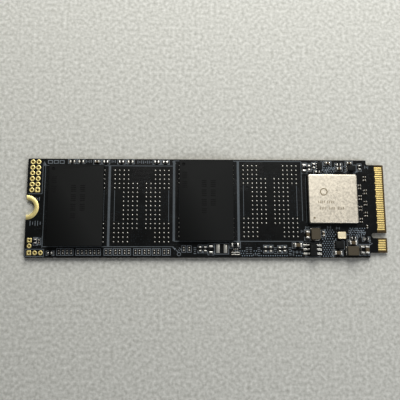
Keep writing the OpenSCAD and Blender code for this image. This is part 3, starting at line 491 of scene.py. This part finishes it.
# %% The wheel
def turned(name, profile_mm, steps):
    """Turn a profile of (radius, height) points about +Z."""
    take()
    radius, height = profile_mm[0]
    bpy.ops.mesh.primitive_circle_add(vertices=steps, radius=radius * MM, location=(0, 0, height * MM))
    piece = bpy.context.object
    piece.name = piece.data.name = name
    bpy.ops.object.transform_apply(location=True, rotation=True, scale=True)
    bpy.ops.object.mode_set(mode="EDIT")
    bpy.ops.mesh.select_mode(type="EDGE")
    bpy.ops.mesh.select_all(action="SELECT")
    for (r0, z0), (r1, z1) in zip(profile_mm, profile_mm[1:]):
        bpy.ops.mesh.extrude_region_move(TRANSFORM_OT_translate={"value": (0, 0, (z1 - z0) * MM)})
        bpy.ops.transform.resize(value=(r1 / r0, r1 / r0, 1))
    bpy.ops.mesh.select_all(action="SELECT")
    if profile_mm[0] == profile_mm[-1]:
        bpy.ops.mesh.remove_doubles(threshold=1e-4 * MM)
    else:
        bpy.ops.mesh.fill_holes(sides=0)
    bpy.ops.mesh.normals_make_consistent(inside=False)
    take(piece)
    return piece


# %% [markdown]
# A card holds hundreds of equal pieces. One is modelled at the origin, and a
# copy of its mesh is laid at every place, so that the copies together make one
# piece, as they are one node in the frame. Where a node holds solids of several
# sizes, each size is modelled once.

# %% Copies
def lay_out(name, shape, places):
    """One piece with a copy of a shape's mesh at every place, and the shape itself removed."""
    corners = np.array([corner.co for corner in shape.data.vertices])
    faces = [np.array(face.vertices) for face in shape.data.polygons]
    bpy.data.objects.remove(shape)
    mesh = bpy.data.meshes.new(name)
    mesh.from_pydata(
        np.concatenate([corners + place for place in places]).tolist(), [],
        [(face + n * len(corners)).tolist() for n in range(len(places)) for face in faces])
    piece = bpy.data.objects.new(name, mesh)
    bpy.context.scene.collection.objects.link(piece)
    return piece


def joined(name, parts):
    """Join parts into one piece."""
    take(parts[0])
    for part in parts[1:]:
        part.select_set(True)
    if len(parts) > 1:
        bpy.ops.object.join()
    parts[0].name = parts[0].data.name = name
    return parts[0]


def bricks(name, node, corner_mm, edge_mm, segments=2):
    """A brick with rounded corners and edges in place of each solid of a node."""
    places_of = {}
    for low, high in solids(node):
        size = tuple(((high - low) / MM).round(3))
        places_of.setdefault(size, []).append((low + high) / 2)
    parts = []
    for size, places in places_of.items():
        half = Vector(size) * MM / 2
        shape = block(name, -half, half)
        round_edges(shape, upright, corner_mm, segments)
        round_edges(shape, level_at(-half.z, half.z), edge_mm, segments)
        parts.append(lay_out(name, shape, places))
    return joined(name, parts)


def put_on(piece, finish, slot, *nodes, smooth_below=40):
    """Give a piece its finish and its body, and let it stand for nodes of the frame."""
    take(piece)
    bpy.ops.object.shade_smooth_by_angle(angle=math.radians(smooth_below))
    piece.data.materials.clear()
    piece.data.materials.append(finishes[finish])
    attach(piece, "root")
    if nodes:
        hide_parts(*nodes)
    print(piece.name, len(piece.data.polygons), "faces")


# %% [markdown]
# A flash package is black epoxy, moulded over a strip of many packages and then
# sawn apart: its sides are flat and its edges nearly sharp. One corner carries
# a shallow round dimple that marks the first ball. The body is a cube with the
# narrowest of bevels, and a Boolean cut with a turned disc sinks the dimple. The
# cut comes first, while the top is still a plain rectangle, because the solver
# needs flat faces, and a bevel leaves them flat only to the last digit or so.

# %% Flash package bodies
DIMPLE_IN, DIMPLE_R, DIMPLE_DEEP = 0.95, 0.36, 0.1
BAR_RISE = 0.003
SAWN_CORNER, MOULD_EDGE = 0.03, 0.04


def sink_dimple(piece, x, y, top, radius_mm, deep_mm):
    """Cut a round dimple with a slanted wall into a flat top."""
    cutter = turned("cutter", [(radius_mm * 0.9, -deep_mm), (radius_mm * 1.1, deep_mm)], 24)
    cutter.data.transform(Matrix.Translation((x, y, top)))
    take(piece)
    cut = piece.modifiers.new("dimple", "BOOLEAN")
    cut.object, cut.operation, cut.solver = cutter, "DIFFERENCE", "EXACT"
    bpy.ops.object.modifier_apply(modifier=cut.name)
    bpy.data.objects.remove(cutter)


def dimple_shade_disc(name, x, y, floor):
    """A darker, rough disc at the bottom of a dimple: painted shade in the hollow."""
    disc = turned(name, [(DIMPLE_R * 0.88, -BAR_RISE), (DIMPLE_R * 0.88, BAR_RISE)], 24)
    disc.data.transform(Matrix.Translation((x, y, floor)))
    put_on(disc, "laser_mark_on_epoxy", "mould_compound")


# Each dimple's floor gets a darker disc, which is painted shade where the hollow lies in shadow.
for number in (1, 2):
    low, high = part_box(f"flash_{number}_mould")
    dimple_shade_disc(f"flash_{number}_dimple_painted_shade", low.x + DIMPLE_IN * MM, high.y - DIMPLE_IN * MM,
                   high.z - DIMPLE_DEEP * MM)
    body = block(f"flash_{number}_body", low, high)
    sink_dimple(body, low.x + DIMPLE_IN * MM, high.y - DIMPLE_IN * MM, high.z, DIMPLE_R, DIMPLE_DEEP)
    round_edges(body, upright, SAWN_CORNER, 2)
    round_edges(body, rim_of(low, high), MOULD_EDGE, 2)
    put_on(body, "black_epoxy_mould", "mould_compound", f"flash_{number}_mould", smooth_below=30)

# %% [markdown]
# A laser burns a few lines of marks into each package. On this model they are
# plain bars that say nothing, set where such marks would be. The card was made
# with its packages turned a quarter, so their lines run across it. A bar is one
# thin plate with rounded corners, and the gaps between groups come from a rule.

# %% Laser bars on the flash packages
def laser_bars(name, top, columns, bar_mm, step_mm, finish, slot, turned_lines=True):
    """Columns of short bars: (x, y, count) of each column's first bar, in metres."""
    half = Vector((bar_mm[0], bar_mm[1], 2 * BAR_RISE)) * MM / 2
    bar = block(name, -half, half)
    round_edges(bar, upright, min(bar_mm) * 0.3, 2)
    places = []
    for x, y, count in columns:
        for k in range(count):
            shift = k * step_mm * MM
            if k % 5 != 4:
                places.append((x, y - shift, top) if turned_lines else (x + shift, y, top))
    put_on(lay_out(name, bar, places), finish, slot)


for number in (1, 2):
    low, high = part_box(f"flash_{number}_mould")
    middle = (low + high) / 2
    laser_bars(f"flash_{number}_bars", high.z, [
        (middle.x - 0.5 * MM, middle.y + 4.3 * MM, 18), (middle.x + 1.5 * MM, middle.y + 4.3 * MM, 14),
        (low.x + 1.2 * MM, middle.y + 6.2 * MM, 9)],
        (1.1, 0.2), 0.42, "laser_mark_on_epoxy", "mould_compound")

# %% [markdown]
# The controller wears a stamped metal lid that spreads its heat. The press
# rounds the lid's corners and leaves a bright sloping rim round a flat top. So
# the cube's upright edges are rounded first, and the top edges, the new round
# corners among them, are bevelled after that. A shallow inset gives the faint
# step inside the rim. It has to stay smaller than the radius that is left at
# the corners, or they would fold.

# %% Controller lid
def sunken_top(piece, top, margin_mm, slope_mm, deep_mm):
    """Sink the flat top of a piece a little, inside a margin."""
    pick(piece, "FACE", lambda middle, normal: normal.z > 0.99 and abs(middle.z - top) < 1e-3 * MM)
    bpy.ops.mesh.inset(thickness=margin_mm * MM, depth=0)
    bpy.ops.mesh.inset(thickness=slope_mm * MM, depth=-deep_mm * MM)
    take(piece)


LID_CORNER, LID_SLOPE, LID_STEP_IN, LID_STEP = 0.42, 0.18, 0.12, 0.012
low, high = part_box("controller_lid")
lid = block("controller_lid_stamped", low, high)
round_edges(lid, upright, LID_CORNER, 5)
round_edges(lid, level_at(high.z), LID_SLOPE, 3)
sunken_top(lid, high.z, LID_STEP_IN, LID_STEP, LID_STEP)
lid_top = high.z - LID_STEP * MM
put_on(lid, "satin_nickel", "nickel_plated_copper", "controller_lid", smooth_below=35)

# %% [markdown]
# The lid's own laser marks are again only generic: a plain ring where a badge
# would sit, two lines of bars below it, and a dot at the first ball's corner.
# The ring is turned as a thin flat washer, and the dot as a thin disc.

# %% Marks on the lid
middle = (low + high) / 2
RING_R, RING_LINE = 0.85, 0.22
LID_DOT_IN, LID_DOT_R = 1.15, 0.23
ring = turned("controller_lid_ring", [
    (RING_R, -BAR_RISE), (RING_R, BAR_RISE), (RING_R - RING_LINE, BAR_RISE),
    (RING_R - RING_LINE, -BAR_RISE), (RING_R, -BAR_RISE)], 40)
ring.data.transform(Matrix.Translation((middle.x - 2.1 * MM, middle.y + 1.5 * MM, lid_top)))
dot = turned("controller_lid_dot", [(LID_DOT_R, -BAR_RISE), (LID_DOT_R, BAR_RISE)], 24)
dot.data.transform(Matrix.Translation((low.x + LID_DOT_IN * MM, low.y + LID_DOT_IN * MM, lid_top)))
put_on(joined("controller_lid_ring", [ring, dot]), "laser_mark_on_nickel", "nickel_plated_copper")
laser_bars("controller_lid_bars", lid_top, [
    (middle.x - 3.3 * MM, middle.y - 0.8 * MM, 10), (middle.x - 3 * MM, middle.y - 2.2 * MM, 14)],
    (0.14, 0.6), 0.4, "laser_mark_on_nickel", "nickel_plated_copper", turned_lines=False)

# %% [markdown]
# Solder balls hold the packages a quarter of a millimetre above the card, and
# are seen from its sides. Melting flattens each into a barrel between its two
# lands. A bare land carries only a low dome of solder, which its own surface
# tension pulls smooth. Both are turned with few steps, because hundreds of
# copies follow, and smooth shading hides the steps.

# %% Balls and domes of solder
BALL_STEPS = 10


def barrels(name, node):
    """A solder ball pressed into a barrel, at each ball of a node."""
    found = solids(node)
    size = (found[0][1] - found[0][0]) / MM
    radius, tall = size[0] / 2, size[2]
    shape = turned(name, [(0.62 * radius, -tall / 2), (0.92 * radius, -tall / 4), (radius, 0),
                          (0.92 * radius, tall / 4), (0.62 * radius, tall / 2)], BALL_STEPS)
    put_on(lay_out(name, shape, [(low + high) / 2 for low, high in found]), "frosted_solder", "solder", node,
           smooth_below=60)


def domes(name, node):
    """A low dome of solder on each bare land of a node."""
    found = solids(node)
    size = (found[0][1] - found[0][0]) / MM
    radius, tall = size[0] / 2, size[2]
    shape = turned(name, [(radius, 0), (0.93 * radius, 0.38 * tall), (0.7 * radius, 0.75 * tall),
                          (0.35 * radius, 0.95 * tall)], BALL_STEPS)
    places = [((low[0] + high[0]) / 2, (low[1] + high[1]) / 2, low[2]) for low, high in found]
    put_on(lay_out(name, shape, places), "dull_solder", "solder", node, smooth_below=60)


for number in (1, 2):
    barrels(f"flash_{number}_solder_balls", f"flash_{number}_balls")
barrels("controller_solder_balls", "controller_balls")
domes("site_2_solder_domes", "flash_site_2_solder")
domes("site_4_solder_domes", "flash_site_4_solder")
domes("side_solder_domes", "flash_side_solder")

# %% [markdown]
# The edge contacts are etched from copper foil and plated with nickel and hard
# gold. Etching leaves their corners round, and plating builds up a soft edge.
# Each length, signal or ground, is one brick, copied to every contact.

# %% Edge contacts
for face in ("top", "underside"):
    contacts = bricks(f"edge_contacts_{face}", f"contacts_{face}", 0.09, 0.012, segments=3)
    put_on(contacts, "hard_gold", "gold_plating", f"contacts_{face}")

# %% [markdown]
# A plated hole is a thin barrel with a flat land on each face. Its section is a
# closed loop, turned on the wheel, with the metal rolling over softly at the
# mouth of the hole and at the rim of the land. The first hole of a row has a
# square land, so that a person can find it: the same turned piece, with its
# outer rings pushed out from a circle to a square with blunt corners.

# %% Plated holes
SOFT = 0.02


def plated_profile(hole, wall, land, low, high, foil):
    """The closed section of a plated hole, in millimetres."""
    mouth = [(hole, high - 2 * SOFT), (hole + SOFT / 2, high - SOFT / 2), (hole + 2 * SOFT, high)]
    rim = [(land - SOFT, high), (land, high - SOFT / 2), (land, high - foil), (wall, high - foil)]
    upper = mouth + rim
    lower = [(radius, low + high - height) for radius, height in reversed(upper)]
    return upper + lower + upper[:1]


def push_square(piece, from_radius):
    """Push what lies outside a radius out to a square."""
    for corner in piece.data.vertices:
        radius = math.hypot(corner.co.x, corner.co.y)
        if radius > from_radius * MM:
            out = min(radius / max(abs(corner.co.x), abs(corner.co.y)), 1.3)
            corner.co.x *= out
            corner.co.y *= out


def plated_holes(name, node, hole, wall):
    """A turned barrel with round or square lands at each plated hole of a node."""
    places = {False: [], True: []}
    for points in solid_points(node):
        low, high = points.min(axis=0), points.max(axis=0)
        square = bool(np.isclose(points[:, :2], high[:2], atol=1e-3 * MM).all(axis=1).any())
        places[square].append((low + high) / 2)
    size = (high - low) / MM
    land, half = size[0] / 2, size[2] / 2
    parts = []
    for square, centres in places.items():
        shape = turned(name, plated_profile(hole, wall, land, -half, half, FOIL), 32)
        if square:
            push_square(shape, (wall + land) / 2)
        parts.append(lay_out(name, shape, centres))
    put_on(joined(name, parts), "immersion_gold", "gold_plating", node)


FOIL = 0.035
plated_holes("service_header_barrels", "service_header_plating", 0.26, 0.29)
plated_holes("corner_test_barrels", "corner_test_lands", 0.2, 0.23)

# %% [markdown]
# The screw notch is half of a large plated hole, cut when the card is milled
# out of its panel. So it is turned whole, and then bisected at the card's end,
# with the cut filled.

# %% Screw notch
NOTCH_R, NOTCH_WALL = 1.75, 1.78
low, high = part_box("screw_notch_plating")
land, half = (high.y - low.y) / 2 / MM, (high.z - low.z) / 2 / MM
notch = turned("screw_notch_ring", plated_profile(NOTCH_R, NOTCH_WALL, land, -half, half, FOIL), 96)
notch.data.transform(Matrix.Translation((low.x, (low.y + high.y) / 2, (low.z + high.z) / 2)))
take(notch)
bpy.ops.object.mode_set(mode="EDIT")
bpy.ops.mesh.select_all(action="SELECT")
bpy.ops.mesh.bisect(plane_co=(low.x, 0, 0), plane_no=(1, 0, 0), use_fill=True, clear_inner=True)
take(notch)
put_on(notch, "immersion_gold", "gold_plating", "screw_notch_plating")

# %% [markdown]
# Chip capacitors are fired blocks of titanate whose ends are dipped in silver
# paste and tinned. Tumbling rounds the block before dipping, and the dip wraps
# every edge, so both are softly rounded bricks, and the ends stand a little
# proud of the body. Chip resistors are snapped from an alumina plate: their
# edges stay sharper, and a black glaze covers the resistor on top.

# %% Chip capacitors and resistors
for size in ("0201", "0402", "0603"):
    put_on(bricks(f"capacitor_{size}_ceramic", f"capacitor_{size}_bodies", 0.03, 0.03),
           "fired_titanate", "capacitor_ceramic", f"capacitor_{size}_bodies")
    put_on(bricks(f"capacitor_{size}_ends", f"capacitor_{size}_caps", 0.04, 0.04, segments=3),
           "matt_tin", "tinned_metal", f"capacitor_{size}_caps")
put_on(bricks("resistor_alumina", "resistor_bases", 0.01, 0.01), "white_alumina", "alumina", "resistor_bases")
put_on(bricks("resistor_glaze", "resistor_coats", 0.05, 0.02), "black_glaze", "resistor_glaze", "resistor_coats")
put_on(bricks("resistor_ends", "resistor_caps", 0.03, 0.03), "matt_tin", "tinned_metal", "resistor_caps")

# %% [markdown]
# A power inductor is pressed from iron powder round its winding. The die has
# blunt corners, and the punch leaves a sunken panel in the top. The metal ends
# fold round under it. They are copies of the frame's own solids with their
# corners merged and a narrow round on every sharp edge, which is the quickest
# honest way for a bent strip. The regulator's gull-wing leads and the solder
# fillets at the chips are softened in the same way.

# %% Power inductors, and how a copy is softened
def softened(name, node, width_mm, segments=2):
    """A copy of a node with its corners merged and a narrow round on every sharp edge."""
    piece = bpy.data.objects.new(name, frame["nodes"][node].data.copy())
    bpy.context.scene.collection.objects.link(piece)
    take(piece)
    bpy.ops.mesh.customdata_custom_splitnormals_clear()
    bpy.ops.object.mode_set(mode="EDIT")
    bpy.ops.mesh.select_all(action="SELECT")
    bpy.ops.mesh.remove_doubles(threshold=1e-4 * MM)
    bpy.ops.mesh.dissolve_limited(angle_limit=math.radians(1))
    take(piece)
    edges = piece.modifiers.new("edges", "BEVEL")
    edges.width, edges.segments = width_mm * MM, segments
    edges.limit_method, edges.angle_limit = "ANGLE", math.radians(30)
    bpy.ops.object.modifier_apply(modifier=edges.name)
    return piece


CORE_CORNER, CORE_EDGE = 0.24, 0.07
CORE_PANEL = (0.1, 0.02, 0.025)  # margin, slope and depth
cores = []
for low, high in solids("inductor_cores"):
    core = block("inductor_core", low, high)
    round_edges(core, upright, CORE_CORNER, 4)
    round_edges(core, level_at(high[2]), CORE_EDGE, 3)
    sunken_top(core, high[2], *CORE_PANEL)
    cores.append(core)
put_on(joined("inductor_pressed_cores", cores), "pressed_iron_powder", "pressed_iron_powder", "inductor_cores")
put_on(softened("inductor_folded_ends", "inductor_terminals", 0.015), "matt_tin", "tinned_metal",
       "inductor_terminals")

# %% [markdown]
# The crystal sits in a ceramic tray with a hollow at each corner, where the
# terminals ran down before the trays were broken apart. A bevel with a hollow
# profile makes them. A thin metal lid is welded on, and the weld wheels leave
# its margin a little higher than the middle.

# %% Crystal
CASTELLATION_R, COVER_CORNER, COVER_EDGE = 0.16, 0.26, 0.04
COVER_PANEL = (0.14, 0.03, 0.03)
low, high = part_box("crystal_base")
tray = block("crystal_tray", low, high)
round_edges(tray, upright, CASTELLATION_R, 4, profile=0.08)
put_on(tray, "brown_crystal_ceramic", "crystal_ceramic", "crystal_base")
low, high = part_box("crystal_lid")
cover = block("crystal_welded_lid", low, high)
round_edges(cover, upright, COVER_CORNER, 4)
round_edges(cover, level_at(high.z), COVER_EDGE, 3)
sunken_top(cover, high.z, *COVER_PANEL)
put_on(cover, "gold_flashed_alloy", "gold_flashed_kovar", "crystal_lid")

# %% [markdown]
# The regulator's body is moulded in two halves that meet at the height of its
# leads. Each half narrows away from that parting line, so that it leaves the
# mould. A bisecting plane without clearing adds the line, and the top and the
# bottom are then scaled in. Its six leads are the softened copy.

# %% Regulator
DRAFT = 0.9
low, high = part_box("regulator_body")
body = block("regulator_moulding", low, high)
sink_dimple(body, low.x + 0.45 * MM, high.y - 0.5 * MM, high.z, 0.17, 0.04)
pick(body, "FACE", lambda middle, normal: True)
bpy.ops.mesh.bisect(plane_co=(0, 0, (low.z + high.z) / 2), plane_no=(0, 0, 1))
for height in (low.z, high.z):
    pick(body, "FACE", lambda middle, normal: abs(normal.z) > 0.9 and abs(middle.z - height) < 1e-3 * MM)
    bpy.ops.transform.resize(value=(DRAFT, DRAFT, 1))
lost = (high - low) * (1 - DRAFT) / 2
lost.z = 0
round_edges(body, rim_of(low + lost, high - lost), MOULD_EDGE, 2)
put_on(body, "black_epoxy_mould", "mould_compound", "regulator_body", smooth_below=30)
put_on(softened("regulator_gull_wings", "regulator_leads", 0.025), "matt_tin", "tinned_metal", "regulator_leads")

# %% [markdown]
# Three small chips have no leads. Each is a sawn block of black epoxy with a
# laser dot at its first pad, and its pads show as metal squares along the foot
# of two sides. The pads are one small brick, copied to six places for each chip,
# and the dot is one disc, copied to each chip.

# %% Chips without leads
PAD = (0.24, 0.22, 0.14)
FIRST_PAD_IN, FIRST_PAD_DOT_R = 0.3, 0.11
pad_places, dot_places = [], []
for node in ("load_switch", "voltage_supervisor", "core_converter"):
    low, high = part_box(node)
    body = block(f"{node}_moulding", low, high)
    round_edges(body, upright, SAWN_CORNER, 2)
    round_edges(body, rim_of(low, high), SAWN_CORNER, 2)
    dot_places.append((low.x + FIRST_PAD_IN * MM, high.y - FIRST_PAD_IN * MM, high.z))
    put_on(body, "black_epoxy_mould", "mould_compound", node, smooth_below=30)
    pitch = (high.y - low.y) / 3
    pad_places += [(x, (low.y + high.y) / 2 + k * pitch, low.z + PAD[2] / 2 * MM)
                   for x in (low.x + 0.1 * MM, high.x - 0.1 * MM) for k in (-1, 0, 1)]
half = Vector(PAD) * MM / 2
pad = block("leadless_pads", -half, half)
round_edges(pad, upright, 0.03, 2)
put_on(lay_out("leadless_pads", pad, pad_places), "matt_tin", "tinned_metal")
dot = turned("leadless_first_pad_dots", [
    (FIRST_PAD_DOT_R, -BAR_RISE), (FIRST_PAD_DOT_R, BAR_RISE)], 16)
put_on(lay_out("leadless_first_pad_dots", dot, dot_places), "laser_mark_on_epoxy", "mould_compound")

# %% [markdown]
# Molten solder climbs the metal end of every chip and freezes in a hollow
# curve. The frame's fillets are softened copies with smooth shading. On a land
# that was left empty the solder only makes a low cushion, so those are bricks
# whose edges are rounded over nearly their whole height.

# %% Solder at the small parts
put_on(softened("chip_solder_fillets", "component_solder", 0.012), "frosted_solder", "solder", "component_solder",
       smooth_below=60)
put_on(bricks("spare_land_cushions", "spare_land_solder", 0.07, 0.03, segments=3), "frosted_solder", "solder",
       "spare_land_solder", smooth_below=60)

# %% [markdown]
# Small holes carry signals between the layers. The mask runs over them and sags
# into each, which leaves a ring that shines where it turns over. The ring's pale
# grey finish paints that shine in as well: it is partly the thin mask over copper
# and partly a painted highlight. The underside of the card shows many more of
# them, in the gaps of every ball pattern. One ring is turned, and copied to each
# hole of the frame's node and, on the underside, between the balls. In the narrow
# strip beside the controller the holes are plugged and ground flush before the
# mask goes on, so no ring shows.

# %% Covered holes
VIA_R, VIA_RISE = 0.14, 0.012


def via_ring(name, face):
    """A low ring of mask round a covered hole. Face is 1 on top and -1 on the underside."""
    profile = [(VIA_R, 0), (VIA_R * 0.85, VIA_RISE * 0.8), (VIA_R * 0.6, VIA_RISE), (VIA_R * 0.25, VIA_RISE * 0.2),
               (VIA_R * 0.2, -VIA_RISE)]
    return turned(name, [(radius, face * height) for radius, height in profile], 10)


mask_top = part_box("solder_mask_top")[1].z
lid_low, lid_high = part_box("controller_lid")
places = [(*((low + high) / 2)[:2], mask_top) for low, high in solids("tented_vias")
          if not (low[0] < lid_low.x and lid_low.y < low[1] < lid_high.y)]
put_on(lay_out("covered_holes_top", via_ring("covered_holes_top", 1), places), "thin_mask_and_painted_highlight", "solder_mask",
       "tented_vias", smooth_below=60)
half_pitch = 0.5 * MM
places = [(low[0] + half_pitch, low[1] + half_pitch, 0) for site in range(1, 5)
          for low, high in solids(f"flash_site_{site}_lands")[::2]]
places += [(*((low + high) / 2)[:2], 0) for low, high in solids("controller_lands")[::2]]
put_on(lay_out("covered_holes_underside", via_ring("covered_holes_underside", -1), places), "thin_mask_and_painted_highlight",
       "solder_mask", smooth_below=60)

# %% [markdown]
# Round the controller's supply the card is crowded with such holes: they tie
# its copper planes together wherever there is room. Three areas are filled with a
# staggered grid of rings, and every place that lies under or beside a part, a
# land, a printed line or a hole of the frame's own is left out.

# %% Stitching holes near the controller
STEP, CLEAR = 0.52, 0.17
CROWDED = [((21.4, -10.6), (33.5, -4.6)), ((21.4, 8.6), (33.5, 10.6)), ((6, -10.6), (21.4, -8.6))]
taken = [box for node in frame["nodes"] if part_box(node)[1].z > mask_top + 0.001 * MM or "land" in node
         for box in solids(node) if (box[1] - box[0])[:2].max() < 8 * MM]
taken += [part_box("controller_lid")]
lows = np.array([tuple(low)[:2] for low, high in taken]) - CLEAR * MM
highs = np.array([tuple(high)[:2] for low, high in taken]) + CLEAR * MM
places = []
for (x0, y0), (x1, y1) in CROWDED:
    for row in range(int((y1 - y0) / STEP)):
        for column in range(int((x1 - x0) / STEP)):
            spot = np.array([x0 + (column + row % 2 / 2) * STEP, y0 + row * STEP]) * MM
            if not ((lows < spot) & (spot < highs)).all(axis=1).any():
                places.append((*spot, mask_top))
put_on(lay_out("stitching_holes", via_ring("stitching_holes", 1), places), "thin_mask_and_painted_highlight", "solder_mask",
       smooth_below=60)
